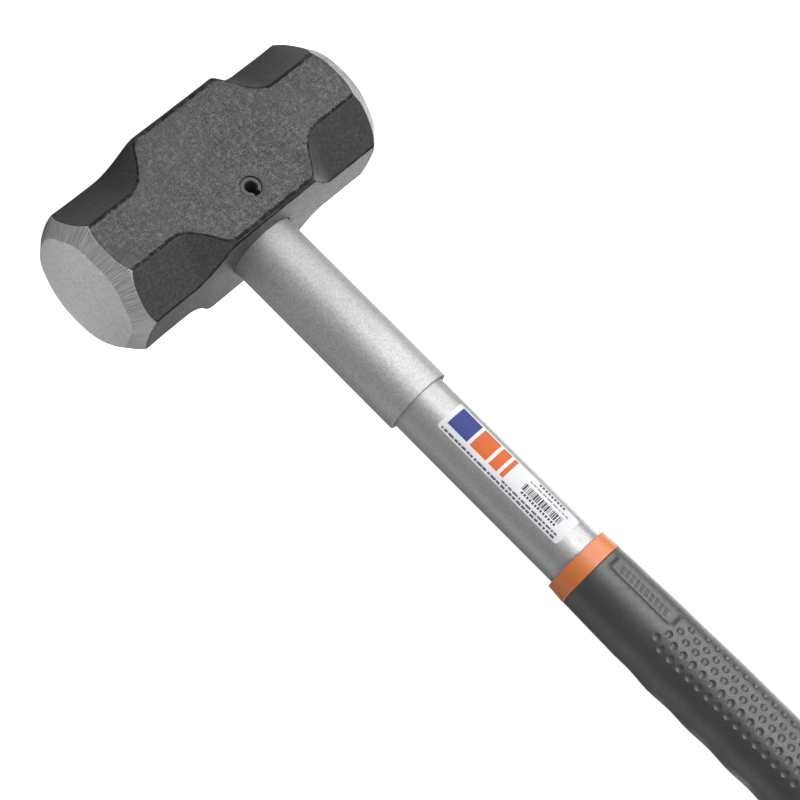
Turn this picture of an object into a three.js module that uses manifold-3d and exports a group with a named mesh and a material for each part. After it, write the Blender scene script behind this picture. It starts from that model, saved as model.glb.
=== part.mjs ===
// Double-faced octagonal sledgehammer with a steel tube handle.
// Millimetres, +Z up. The hammer stands on the top flat of its head: Z = 0 is that flat, the handle runs up +Z,
// the head's long axis lies along X, and the two cheeks face -Y (front, label side) and +Y.
import * as THREE from 'three';
import { mergeVertices } from 'three/addons/utils/BufferGeometryUtils.js';
import Module from 'manifold-3d';

const wasm = await Module();
wasm.setup();

// ---- driving dimensions ----
const TOTAL_LENGTH = 700;          // head top to butt end

// head
const HEAD_HALF = 35.8;            // half of the 71.6 mm bar, cheek to cheek and top to eye side
const OCT_HALF_FLAT = 14.7;        // half width of each octagon flat at the two ends
const MID_CORNER_CUT = 1.5;        // leg of the small cut on the full-square middle corners
const SCOOP_IN = 28.3;             // |x| where the corner scoop starts, at the square middle
const SCOOP_OUT = 47.7;            // |x| where the scoop has run out into the octagon
const BEVEL_START = 76.2;          // |x| of the outer edge of the striking-face bevel
const BEVEL_END = 83.4;            // |x| of the inner edge of the bevel
const FACE_HALF = 30.1;            // half across flats of the striking face
const FACE_FLAT = 11.6;            // half width of each flat of the striking face
const FACE_CROWN = 3.6;            // height of the face's crown

// handle
const TUBE_R = 15.5;
const TUBE_WALL = 2.0;
const SLEEVE_R = 18.0;
const SLEEVE_BORE_R = 15.6;
const SLEEVE_END_Z = 178.1;
const EYE_R = 18.1;
const STEEL_START_Z = 3.2;         // tube and sleeve stop this far inside the top of the eye
const TUBE_END_Z = 690;
const ROUND = 64;                  // sides of the round steel parts

// slotted spring pin, cheek to cheek
const PIN_Z = 54.2;
const PIN_R = 5.2;
const PIN_WALL = 2.0;
const PIN_HOLE_R = 5.4;
const PIN_HALF_LENGTH = 35.1;
const PIN_SLOT = 2.6;

// grip
const COLLAR_START_Z = 283.2;
const COLLAR_END_Z = 293.3;
const COLLAR_R0 = 17.9;
const COLLAR_R1 = 18.7;
const CORE_BORE_R = 15.6;
const CORE_R = 17.1;
const COVER_START_Z = 293.35;
const COVER_BORE_R = 17.3;
const FLARE_R = 24.2;

// label
const LABEL_Z0 = 194.0;
const LABEL_Z1 = 273.0;
const LABEL_R0 = 15.56;
const LABEL_R1 = 15.78;
const LABEL_HALF_FACETS = 6;       // of the tube's 64 sides, each way from the front

// ---- materials ----
const mat = (color, roughness, metalness) => new THREE.MeshStandardMaterial({ color, roughness, metalness });
const forged = mat(0x55575a, 0.62, 0.7);
const silver = mat(0xb9bbbd, 0.42, 0.75);
const sleeveSilver = mat(0xb3b5b7, 0.48, 0.7);
const pinSteel = mat(0x3a3b3d, 0.45, 0.9);
const plugBlack = mat(0x1f2022, 0.6, 0.0);
const orange = mat(0xd9692a, 0.45, 0.0);
const rubber = mat(0x454749, 0.75, 0.0);
const paper = mat(0xeef0f2, 0.35, 0.0);

// ---- helpers ----
function meshOf(positions, triangles) {
  const g = new THREE.BufferGeometry();
  g.setAttribute('position', new THREE.Float32BufferAttribute(positions, 3));
  g.setIndex(triangles);
  return g;
}

// stacks closed rings of equal point count into one closed body; the ends are closed by a centre point each
function loft(rings, startPoint, endPoint) {
  const n = rings[0].length;
  const pos = [];
  const tri = [];
  rings.forEach((ring) => ring.forEach((p) => pos.push(...p)));
  const a = pos.length / 3;
  pos.push(...startPoint);
  pos.push(...endPoint);
  for (let r = 0; r + 1 < rings.length; r++) {
    for (let i = 0; i < n; i++) {
      const j = (i + 1) % n;
      const p = r * n + i, q = r * n + j, s = (r + 1) * n + i, t = (r + 1) * n + j;
      tri.push(p, q, t, p, t, s);
    }
  }
  const last = (rings.length - 1) * n;
  for (let i = 0; i < n; i++) {
    const j = (i + 1) % n;
    tri.push(a, j, i);
    tri.push(a + 1, last + i, last + j);
  }
  return meshOf(pos, tri);
}

// stacks rings and closes the last onto the first, which gives a tube with a wall
function loftLoop(rings) {
  const n = rings[0].length;
  const pos = [];
  const tri = [];
  rings.forEach((ring) => ring.forEach((p) => pos.push(...p)));
  for (let r = 0; r < rings.length; r++) {
    const r2 = (r + 1) % rings.length;
    for (let i = 0; i < n; i++) {
      const j = (i + 1) % n;
      tri.push(r * n + i, r * n + j, r2 * n + j, r * n + i, r2 * n + j, r2 * n + i);
    }
  }
  return meshOf(pos, tri);
}

function orientOut(geometry) {
  const p = geometry.attributes.position;
  const idx = geometry.index.array;
  let v = 0;
  const a = new THREE.Vector3(), b = new THREE.Vector3(), c = new THREE.Vector3();
  for (let i = 0; i < idx.length; i += 3) {
    a.fromBufferAttribute(p, idx[i]);
    b.fromBufferAttribute(p, idx[i + 1]);
    c.fromBufferAttribute(p, idx[i + 2]);
    v += a.dot(b.cross(c));
  }
  if (v < 0) for (let i = 0; i < idx.length; i += 3) [idx[i], idx[i + 1]] = [idx[i + 1], idx[i]];
  return geometry;
}

// profile of [radius, z] pairs turned about Z
function turned(profile, segments = ROUND) {
  const pts = profile.map(([r, z]) => new THREE.Vector2(r, z));
  return new THREE.LatheGeometry(pts, segments).rotateX(Math.PI / 2);
}

function solid(geometry) {
  let g = geometry.clone();
  g.deleteAttribute('normal');
  g.deleteAttribute('uv');
  g = mergeVertices(g, 1e-4);
  const idx = [];
  const src = g.index.array;
  for (let i = 0; i < src.length; i += 3) {
    if (src[i] !== src[i + 1] && src[i + 1] !== src[i + 2] && src[i] !== src[i + 2]) idx.push(src[i], src[i + 1], src[i + 2]);
  }
  g.setIndex(idx);
  orientOut(g);
  return new wasm.Manifold(new wasm.Mesh({
    numProp: 3,
    vertProperties: new Float32Array(g.attributes.position.array),
    triVerts: new Uint32Array(g.index.array),
  }));
}

function geometryOf(manifold) {
  const m = manifold.getMesh();
  const g = meshOf(Array.from(m.vertProperties), Array.from(m.triVerts));
  g.computeVertexNormals();
  return g;
}

function cylinderAlongY(radius, halfLength, z, sides = 32) {
  return new THREE.CylinderGeometry(radius, radius, 2 * halfLength, sides).translate(0, 0, z);
}

function named(name, geometry, material) {
  const mesh = new THREE.Mesh(geometry, material);
  mesh.name = name;
  return mesh;
}

function lerpTable(table, z) {
  if (z <= table[0][0]) return table[0][1];
  for (let i = 1; i < table.length; i++) {
    if (z <= table[i][0]) {
      const [z0, a] = table[i - 1], [z1, b] = table[i];
      let t = (z - z0) / (z1 - z0);
      t = t * t * (3 - 2 * t);
      return a + (b - a) * t;
    }
  }
  return table[table.length - 1][1];
}

// ---- head ----
// an octagon ring at x: h is half across flats, k is half the width of each flat
function octRing(x, h, k) {
  const c = HEAD_HALF;
  return [[-k, -h], [k, -h], [h, -k], [h, k], [k, h], [-k, h], [-h, k], [-h, -k]].map(([y, z]) => [x, y, c + z]);
}

function headBody() {
  const stations = [];
  stations.push([0, HEAD_HALF, HEAD_HALF - MID_CORNER_CUT]);
  const kMid = HEAD_HALF - MID_CORNER_CUT;
  const steps = 12;
  // the scoop runs out as a parabola from the octagon, with its upper edge rounded over
  for (let i = steps; i >= 0; i--) {
    const u = 1.04 * i / steps;
    const x = SCOOP_OUT - (SCOOP_OUT - SCOOP_IN) * u;
    const round = u > 0.9 ? 0.03 * ((u - 0.9) / 0.14) ** 2 : 0;
    const k = OCT_HALF_FLAT + (kMid - OCT_HALF_FLAT) * Math.min(1, u * u - round);
    stations.push([x, HEAD_HALF, k]);
  }
  stations.push([BEVEL_START, HEAD_HALF, OCT_HALF_FLAT]);
  stations.push([BEVEL_END, FACE_HALF, FACE_FLAT]);
  for (const s of [0.75, 0.5, 0.25]) {
    stations.push([BEVEL_END + FACE_CROWN * (1 - s * s), FACE_HALF * s, FACE_FLAT * s]);
  }
  const rings = [];
  for (const [x, h, k] of [...stations].reverse()) if (x > 0) rings.push(octRing(-x, h, k));
  for (const [x, h, k] of stations) if (x > 0) rings.push(octRing(x, h, k));
  const tip = BEVEL_END + FACE_CROWN;
  return orientOut(loft(rings, [-tip, 0, HEAD_HALF], [tip, 0, HEAD_HALF]));
}

const eyeCut = solid(turned([[0, -5], [EYE_R, -5], [EYE_R, 2 * HEAD_HALF + 5], [0, 2 * HEAD_HALF + 5]]));
const pinCut = solid(cylinderAlongY(PIN_HOLE_R, 60, PIN_Z));
const head = named('head', geometryOf(solid(headBody()).subtract(eyeCut).subtract(pinCut)), forged);

// ---- handle tube and guard sleeve ----
const tubeIn = TUBE_R - TUBE_WALL;
const tubeBlank = turned([
  [tubeIn, STEEL_START_Z], [TUBE_R, STEEL_START_Z], [TUBE_R, TUBE_END_Z], [tubeIn, TUBE_END_Z], [tubeIn, STEEL_START_Z],
]);
const handleTube = named('handle_tube', geometryOf(solid(tubeBlank).subtract(pinCut)), silver);

const sleeveBlank = turned([
  [SLEEVE_BORE_R, STEEL_START_Z], [SLEEVE_R, STEEL_START_Z], [SLEEVE_R, SLEEVE_END_Z - 0.5],
  [SLEEVE_R - 0.5, SLEEVE_END_Z], [SLEEVE_BORE_R, SLEEVE_END_Z], [SLEEVE_BORE_R, STEEL_START_Z],
]);
const guardSleeve = named('guard_sleeve', geometryOf(solid(sleeveBlank).subtract(pinCut)), sleeveSilver);

// ---- slotted spring pin ----
function springPin() {
  const gap = Math.asin(PIN_SLOT / 2 / PIN_R);
  const gapIn = Math.asin(PIN_SLOT / 2 / (PIN_R - PIN_WALL));
  const n = 22;
  const s = new THREE.Shape();
  for (let i = 0; i <= n; i++) {
    const a = Math.PI / 2 + gap + (2 * Math.PI - 2 * gap) * (i / n);
    const x = PIN_R * Math.cos(a), y = PIN_R * Math.sin(a);
    if (i === 0) s.moveTo(x, y); else s.lineTo(x, y);
  }
  for (let i = n; i >= 0; i--) {
    const a = Math.PI / 2 + gapIn + (2 * Math.PI - 2 * gapIn) * (i / n);
    s.lineTo((PIN_R - PIN_WALL) * Math.cos(a), (PIN_R - PIN_WALL) * Math.sin(a));
  }
  s.closePath();
  const g = new THREE.ExtrudeGeometry(s, { depth: 2 * PIN_HALF_LENGTH, bevelEnabled: false });
  return g.rotateX(Math.PI / 2).translate(0, PIN_HALF_LENGTH, PIN_Z);
}
const retainingPin = named('retaining_pin', springPin(), pinSteel);

// ---- plug that closes the tube at the top of the eye ----
const eyePlug = named('eye_plug', turned([
  [0, 0.8], [17.2, 0.8], [17.8, 1.4], [17.8, 3.0], [13.3, 3.0], [13.3, 17.0], [11.3, 17.0], [11.3, 5.2], [0, 5.2],
], 48), plugBlack);

// ---- grip core with its visible collar ----
const gripCore = named('grip_core', turned([
  [CORE_BORE_R, COLLAR_START_Z], [COLLAR_R0 - 0.4, COLLAR_START_Z], [COLLAR_R0, COLLAR_START_Z + 0.4],
  [COLLAR_R1, COLLAR_END_Z], [CORE_R, COLLAR_END_Z], [CORE_R, TUBE_END_Z], [CORE_BORE_R, TUBE_END_Z], [CORE_BORE_R, COLLAR_START_Z],
], 64), orange);

// ---- rubber grip cover ----
// outline radius towards -X, +X and +/-Y along the handle
const GRIP_MINUS_X = [[293.3, 18.5], [307, 19.0], [337, 20.0], [382, 21.0], [422, 21.3], [502, 21.3], [582, 20.6], [652, 20.6], [688, FLARE_R]];
const GRIP_PLUS_X = [[293.3, 18.5], [322, 18.9], [350, 19.4], [382, 18.9], [422, 18.9], [502, 19.2], [582, 19.6], [652, 20.2], [688, FLARE_R]];
const GRIP_Y = [[293.3, 18.6], [322, 19.2], [362, 19.7], [422, 19.9], [582, 19.9], [652, 20.2], [688, FLARE_R]];
const WAVE_PITCH = 26;
const WAVE_DEPTH = 0.35;

function gripRadius(theta, z) {
  const s = Math.sin(theta);
  const ry = lerpTable(GRIP_Y, z);
  let rx = lerpTable(s > 0 ? GRIP_PLUS_X : GRIP_MINUS_X, z);
  if (s > 0) {
    const fade = Math.min(1, Math.max(0, (z - 320) / 12)) * Math.min(1, Math.max(0, (652 - z) / 20));
    rx += WAVE_DEPTH * fade * Math.cos(2 * Math.PI * (z - 350) / WAVE_PITCH);
  }
  return ry + (rx - ry) * s * s;
}

function gripCover() {
  const n = 40;
  const end = TOTAL_LENGTH;
  const ring = (z, f) => Array.from({ length: n }, (_, i) => {
    const t = (i / n) * 2 * Math.PI;
    const r = f(t, z);
    return [r * Math.sin(t), -r * Math.cos(t), z];
  });
  const rings = [];
  const zs = [COVER_START_Z];
  for (let z = 300; z < 684; z += 9.15) zs.push(z);
  zs.push(688);
  for (const z of zs) rings.push(ring(z, gripRadius));
  for (const a of [25, 50, 70, 90]) {
    const t = (a * Math.PI) / 180;
    rings.push(ring(688 + 12 * Math.sin(t), () => FLARE_R - 4.2 * (1 - Math.cos(t))));
  }
  rings.push(ring(end, () => COVER_BORE_R));
  rings.push(ring(COVER_START_Z, () => COVER_BORE_R));
  return orientOut(loftLoop(rings));
}
const cover = named('grip_cover', gripCover(), rubber);

// ---- butt plug ----
const buttPlug = named('butt_plug', turned([
  [0, 670.0], [11.2, 670.0], [13.3, 672.0], [13.3, 690.3], [16.8, 690.3], [16.8, 697.6], [15.6, 698.8], [9, 699.2], [0, 699.3],
], 48), orange);

// ---- label, a thin film wrapped on the tube ----
function labelFilm() {
  const pts = [];
  const step = (2 * Math.PI) / ROUND;
  const outer = [], inner = [];
  for (let i = -LABEL_HALF_FACETS; i <= LABEL_HALF_FACETS; i++) {
    const t = i * step;
    outer.push([LABEL_R1 * Math.sin(t), -LABEL_R1 * Math.cos(t)]);
    inner.push([LABEL_R0 * Math.sin(t), -LABEL_R0 * Math.cos(t)]);
  }
  const loop = [...outer, ...inner.reverse()];
  const s = new THREE.Shape(loop.map(([x, y]) => new THREE.Vector2(x, y)));
  return new THREE.ExtrudeGeometry(s, { depth: LABEL_Z1 - LABEL_Z0, bevelEnabled: false }).translate(0, 0, LABEL_Z0);
}
const label = named('label', labelFilm(), paper);

const sledgehammer = new THREE.Group();
sledgehammer.add(head, handleTube, guardSleeve, retainingPin, eyePlug, gripCore, cover, buttPlug, label);

export default sledgehammer;
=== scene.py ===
# Sledgehammer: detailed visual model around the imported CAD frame. Metres, +Z up, head standing on Z = 0.
import bpy
import bmesh
import math
import numpy as np
from mathutils import Vector, Matrix, noise
from mathutils.geometry import delaunay_2d_cdt


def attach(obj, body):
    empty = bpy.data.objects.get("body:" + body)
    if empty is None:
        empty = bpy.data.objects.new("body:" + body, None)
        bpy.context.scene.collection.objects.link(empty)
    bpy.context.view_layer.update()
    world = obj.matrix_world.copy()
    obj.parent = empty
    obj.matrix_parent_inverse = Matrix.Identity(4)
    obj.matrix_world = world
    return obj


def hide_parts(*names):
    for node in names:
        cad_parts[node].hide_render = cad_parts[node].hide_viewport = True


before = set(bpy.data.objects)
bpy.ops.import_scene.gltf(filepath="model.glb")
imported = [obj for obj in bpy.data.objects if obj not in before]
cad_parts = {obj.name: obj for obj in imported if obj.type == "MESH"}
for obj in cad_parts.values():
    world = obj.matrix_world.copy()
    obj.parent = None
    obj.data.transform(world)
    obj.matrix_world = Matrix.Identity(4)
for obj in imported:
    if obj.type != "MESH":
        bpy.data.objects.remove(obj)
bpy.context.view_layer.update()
MM = 0.001

# ------------------------------------------------------------------ dimensions, millimetres, as in the CAD
A = 35.8                    # half of the 71.6 mm bar
K_END = 14.7                # half flat of the octagon ends
MID_CUT = 1.5
X_IN, X_OUT = 28.3, 47.7    # scoop
XF = 83.4                   # |x| of the striking face's edge, in the middle of a flat
FACE_H, FACE_K, CROWN = 30.1, 12.6, 3.6
EYE_R, PIN_Z, PIN_HOLE_R = 18.1, 54.2, 5.4
TUBE_R, SLEEVE_R, SLEEVE_END = 15.5, 18.0, 178.1
STEEL_Z0, TUBE_END = 3.2, 690.0
COLLAR_Z0, COLLAR_Z1 = 283.2, 293.3
COVER_Z0, COVER_BORE, FLARE_R, TOTAL = 293.35, 17.3, 24.2, 700.0


# ------------------------------------------------------------------ mesh helpers
def make_object(name, verts_mm, faces, smooth=True, sharp_deg=None):
    me = bpy.data.meshes.new(name)
    v = np.asarray(verts_mm, float) * MM
    me.from_pydata(v.tolist(), [], [list(map(int, f)) for f in faces])
    me.validate()
    if smooth:
        me.shade_smooth()
    ob = bpy.data.objects.new(name, me)
    bpy.context.scene.collection.objects.link(ob)
    bm = bmesh.new()
    bm.from_mesh(me)
    bmesh.ops.remove_doubles(bm, verts=bm.verts, dist=1e-7)
    bmesh.ops.dissolve_degenerate(bm, edges=bm.edges, dist=1e-7)
    bmesh.ops.recalc_face_normals(bm, faces=bm.faces)
    if bm.calc_volume(signed=True) < 0:
        bmesh.ops.reverse_faces(bm, faces=bm.faces)
    bm.to_mesh(me)
    bm.free()
    if sharp_deg is not None:
        me.set_sharp_from_angle(angle=math.radians(sharp_deg))
    return ob


def lathe(name, profile, segs=160, sharp_deg=40):
    """profile of (radius, z) in mm, closed loop; points on the axis allowed at both ends."""
    verts, faces, rings = [], [], []
    for r, z in profile:
        if r < 1e-6:
            rings.append([len(verts)])
            verts.append((0, 0, z))
        else:
            start = len(verts)
            for i in range(segs):
                t = 2 * math.pi * i / segs
                verts.append((r * math.sin(t), -r * math.cos(t), z))
            rings.append(list(range(start, start + segs)))
    closed = profile[0][0] > 1e-6
    n = len(rings)
    for a in range(n if closed else n - 1):
        p, q = rings[a], rings[(a + 1) % n]
        for i in range(segs):
            j = (i + 1) % segs
            if len(p) == 1 and len(q) == 1:
                break
            if len(p) == 1:
                faces.append((p[0], q[j], q[i]))
            elif len(q) == 1:
                faces.append((p[i], p[j], q[0]))
            else:
                faces.append((p[i], p[j], q[j], q[i]))
    return make_object(name, verts, faces, True, sharp_deg)


def arc(cx, cz, r, a0, a1, n):
    """points of a fillet in the (radius, z) plane"""
    return [(cx + r * math.cos(math.radians(a0 + (a1 - a0) * i / n)),
             cz + r * math.sin(math.radians(a0 + (a1 - a0) * i / n))) for i in range(n + 1)]


def cut(ob, cutter, sharp_deg=35):
    m = ob.modifiers.new("cut", "BOOLEAN")
    m.operation = "DIFFERENCE"
    m.solver = "EXACT"
    m.object = cutter
    dg = bpy.context.evaluated_depsgraph_get()
    me = bpy.data.meshes.new_from_object(ob.evaluated_get(dg), depsgraph=dg)
    ob.modifiers.remove(m)
    old = ob.data
    ob.data = me
    bpy.data.meshes.remove(old)
    me.shade_smooth()
    me.set_sharp_from_angle(angle=math.radians(sharp_deg))
    return ob


def rod_y(name, r, half, z, segs=64, chamfer=0.0, flare=0.0):
    """a cutter along Y; chamfer widens it at the cheeks"""
    prof = [(0, -half), (r + flare, -half)]
    if chamfer > 0:
        prof += [(r + flare, -A - 0.02), (r + chamfer, -A - 0.01), (r, -A + chamfer), (r, A - chamfer), (r + chamfer, A + 0.01), (r + flare, A + 0.02)]
    prof += [(r + flare, half), (0, half)]
    ob = lathe(name, prof, segs)
    ob.data.transform(Matrix.Rotation(math.radians(90), 4, "X"))
    ob.data.transform(Matrix.Translation((0, 0, z * MM)))
    return ob


def fbm(p, octaves=3):
    v, a, f = 0.0, 1.0, 1.0
    for _ in range(octaves):
        v += a * noise.noise(Vector((p[0] * f, p[1] * f, p[2] * f)))
        a *= 0.5
        f *= 2.03
    return v


def smoothstep(t):
    t = np.clip(t, 0, 1)
    return t * t * (3 - 2 * t)


# ------------------------------------------------------------------ head
def smin(a, b, w):
    h = np.clip(0.5 + 0.5 * (b - a) / w, 0, 1)
    return b * (1 - h) + a * h - w * h * (1 - h)


def k_of(x):
    """half width of each flat at |x|: octagon ends, scooped up to the nearly square middle"""
    x = np.abs(np.asarray(x, float))
    u = np.clip((X_OUT - x) / (X_OUT - X_IN), 0, 1.6)
    k = smin(K_END + (A - MID_CUT - K_END) * u * u, np.full_like(u, A - MID_CUT), 7.0)
    return np.minimum(k, A - MID_CUT)


N_FLAT, N_CHAM, N_FIL = 38, 24, 4       # segments across a flat, across a corner facet, and round each edge


def outline(k, fillet=0.7):
    """section of the bar: points (y, z') round the octagon whose flats are 2k wide, with small edge radii"""
    c = [(A, -k), (A, k), (k, A), (-k, A), (-A, k), (-A, -k), (-k, -A), (k, -A)]
    pts = []
    for i in range(8):
        p0, p1, p2 = np.array(c[i - 1]), np.array(c[i]), np.array(c[(i + 1) % 8])
        d0, d1 = p1 - p0, p2 - p1
        l0, l1 = np.linalg.norm(d0), np.linalg.norm(d1)
        d0, d1 = d0 / l0, d1 / l1
        cut_len = min(fillet * math.tan(math.radians(22.5)), 0.3 * l0, 0.3 * l1)
        rad = cut_len / math.tan(math.radians(22.5))
        start, end = p1 - d0 * cut_len, p1 + d1 * cut_len
        n0 = np.array((d0[1], -d0[0]))
        cen = start - n0 * rad
        a0 = math.atan2(start[1] - cen[1], start[0] - cen[0])
        for j in range(N_FIL + 1):
            t = a0 + math.radians(45) * j / N_FIL
            pts.append((cen[0] + rad * math.cos(t), cen[1] + rad * math.sin(t)))
        n = N_CHAM if i % 2 == 1 else N_FLAT
        # the next edge start
        p3 = np.array(c[(i + 2) % 8])
        d2 = p3 - p2
        l2 = np.linalg.norm(d2)
        cl2 = min(fillet * math.tan(math.radians(22.5)), 0.3 * l1, 0.3 * l2)
        stop = p2 - d1 * cl2
        for j in range(1, n):
            pts.append(tuple(end + (stop - end) * j / n))
    return np.array(pts)


def polar_oct(phi, h, k, w):
    """rounded octagon as a radius: flats at h, flat half width k"""
    a, b = np.abs(np.cos(phi)), np.abs(np.sin(phi))
    big = 1e3
    r = smin(h / np.maximum(a, 1e-3), h / np.maximum(b, 1e-3), w)
    return smin(r, (h + k) / (a + b), w)


FACE_W, BEVEL_SLOPE = 7.0, 0.91        # softness of the face outline's corners; outward per inward mm on the bevel


def face_r(phi):
    return polar_oct(phi, FACE_H, FACE_K, FACE_W)


def crown_x(r):
    return XF + CROWN * (1 - (r / FACE_H) ** 2)


def build_head():
    end_pts = outline(K_END)
    n = len(end_pts)
    xs = [0.0]
    while xs[-1] < 64.0 - 0.01:
        x = xs[-1]
        step = 0.62 if 23.5 < x < 48.5 else 1.35
        xs.append(min(64.0, x + step))
    phi = np.arctan2(end_pts[:, 1], end_pts[:, 0])
    r_end = np.hypot(end_pts[:, 0], end_pts[:, 1])

    def end_rows(sign):
        """rows past the straight body: up to the bevel, the bevel, the face edge and the crowned face"""
        wob = 0.35 * np.sin(3 * phi + 0.7 * sign) + 0.22 * np.sin(7 * phi + 1.9 + sign) + 0.12 * np.sin(17 * phi + sign)
        fr = face_r(phi) + 0.10 * np.sin(5 * phi + 2 * sign)
        xe = crown_x(fr)
        rb = r_end
        xb = xe - (rb - fr) / BEVEL_SLOPE + 0.18 * wob
        rows = []
        for t in (0.35, 0.7, 0.93):
            rows.append((64.0 + (xb - 64.0) * t, rb))
        # slightly broken edge, then the ground bevel
        L = np.hypot(xe - xb, rb - fr)
        ux, ur = (xe - xb) / L, (fr - rb) / L
        rows.append((xb - 0.16, rb - 0.005))
        rows.append((xb + ux * 0.04, rb + ur * 0.04 - 0.02))
        rows.append((xb + ux * 0.22, rb + ur * 0.22))
        for t in (0.08, 0.2, 0.34, 0.48, 0.62, 0.76, 0.88, 0.95):
            rows.append((xb + ux * L * t, rb + ur * L * t))
        rows.append((xe - ux * 0.22, fr - ur * 0.22))
        rows.append((xe + 0.005 - ux * 0.02, fr - ur * 0.02 - 0.03))
        rows.append((crown_x(fr - 0.3) + 0.0, fr - 0.3))
        mean = 30.9
        for s in (0.975, 0.94, 0.9, 0.85, 0.79, 0.72, 0.64, 0.55, 0.46, 0.36, 0.25, 0.14, 0.05):
            r = s * (fr * s ** 1.5 + mean * (1 - s ** 1.5))
            rows.append((crown_x(r), r))
        return [(sign * a, r) for a, r in rows]

    verts = []
    rows = []
    body = [(s * x) for s in (-1,) for x in xs[::-1]] + xs[1:]

    def uneven(x, y, z):
        d = 0.22 * (0.5 + 0.5 * fbm((x * 0.05, y * 0.05, z * 0.05), 2)) + 0.07 * (0.5 + 0.5 * fbm((x * 0.22 + 9, y * 0.22, z * 0.22), 2))
        return max(0.0, d) * min(1.0, max(0.0, (73.0 - abs(x)) / 7))

    def add_row(xv, y, z):
        base = len(verts)
        xv = np.broadcast_to(xv, y.shape)
        for i in range(n):
            d = uneven(xv[i], y[i], z[i]) if abs(xv[i]) < 73 else 0.0
            r = math.hypot(y[i], z[i])
            f = 1 - d / max(r, 1)
            verts.append((xv[i], y[i] * f, z[i] * f + A))
        rows.append(base)

    cs, sn = np.cos(phi), np.sin(phi)
    for a, r in end_rows(-1)[::-1]:
        add_row(a, r * cs, r * sn)
    for x in body:
        p = outline(float(k_of(x)))
        add_row(x, p[:, 0], p[:, 1])
    for a, r in end_rows(1):
        add_row(a, r * cs, r * sn)
    faces = []
    for a, b in zip(rows[:-1], rows[1:]):
        for i in range(n):
            j = (i + 1) % n
            faces.append((a + i, a + j, b + j, b + i))
    tip = XF + CROWN
    c0 = len(verts)
    verts.append((-tip, 0, A))
    verts.append((tip, 0, A))
    for i in range(n):
        j = (i + 1) % n
        faces.append((c0, rows[0] + j, rows[0] + i))
        faces.append((c0 + 1, rows[-1] + i, rows[-1] + j))
    ob = make_object("head_forging", verts, faces)
    eye = lathe("eye_cut", [(0, -6), (EYE_R + 0.7, -6), (EYE_R + 0.7, -0.3), (EYE_R, 0.5), (EYE_R, 2 * A - 0.9), (EYE_R + 1.1, 2 * A + 0.15), (EYE_R + 1.1, 2 * A + 6), (0, 2 * A + 6)], 128)
    pin = rod_y("pin_cut", PIN_HOLE_R, 60, PIN_Z, 64, chamfer=0.12, flare=0.3)
    cut(ob, eye)
    cut(ob, pin)
    print("head faces", len(ob.data.polygons), "tris", sum(len(q.vertices) - 2 for q in ob.data.polygons))
    return ob, pin, eye


head, pin_cutter, eye_cutter = build_head()

# per-point masks used by the head's material
me = head.data
co = np.empty(len(me.vertices) * 3, np.float32)
me.vertices.foreach_get("co", co)
co = co.reshape(-1, 3).astype(float) / MM
X, Y, Z = co[:, 0], co[:, 1], co[:, 2] - A
kk = k_of(X)
flat_d = np.maximum(np.abs(Y), np.abs(Z)) - A
cham_d = (np.abs(Y) + np.abs(Z) - A - kk) / math.sqrt(2)
oxide = np.clip((cham_d - flat_d) / 1.2, -1, 1)                 # >0 on the scooped corners, <0 on the flats
phi_v = np.arctan2(Z, Y)
rr = np.hypot(Y, Z)
fr_v = face_r(phi_v)
bev = np.clip((rr - (fr_v + (crown_x(fr_v) - np.abs(X)) * BEVEL_SLOPE)) / 0.5, -4, 1)   # about 0 on the ground bevel, <0 on the body
facem = np.where(np.abs(X) > 76, np.clip(1 - (rr - (fr_v - 0.12)) / 0.25, -1, 1), -1.0)
bore = np.where((np.hypot(X, Y) < EYE_R + 0.3) | (np.hypot(X, Z + A - PIN_Z) < PIN_HOLE_R + 0.2), 1.0, 0.0)
for nm, val in (("oxide", oxide), ("bevel", np.where(np.abs(X) > 70, bev, -4.0)), ("face", facem), ("bore", bore)):
    at = me.attributes.new(nm, "FLOAT", "POINT")
    at.data.foreach_set("value", val.astype(np.float32))

# ------------------------------------------------------------------ handle steel
sleeve = lathe("guard_sleeve_tube", [(15.6, STEEL_Z0), (17.6, STEEL_Z0), (18.0, STEEL_Z0 + 0.4)]
               + [(18.0, z) for z in (70.0, 123.0)]
               + [(18.0, SLEEVE_END - 0.55), (17.85, SLEEVE_END - 0.16), (17.5, SLEEVE_END), (15.95, SLEEVE_END), (15.65, SLEEVE_END - 0.25), (15.6, SLEEVE_END - 0.6)], 192)
tube = lathe("handle_tube_steel", [(13.5, STEEL_Z0), (15.1, STEEL_Z0), (15.5, STEEL_Z0 + 0.4)]
             + [(15.5, z) for z in (60.0, 120.0, 180.0, 240.0, 300.0, 500.0)]
             + [(15.5, TUBE_END - 0.4), (15.1, TUBE_END), (13.5, TUBE_END)], 192)
plain_cut = rod_y("plain_cut", PIN_HOLE_R, 60, PIN_Z, 48)
cut(sleeve, plain_cut)
cut(tube, plain_cut)
for c in (pin_cutter, eye_cutter, plain_cut):
    bpy.data.objects.remove(c)


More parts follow.
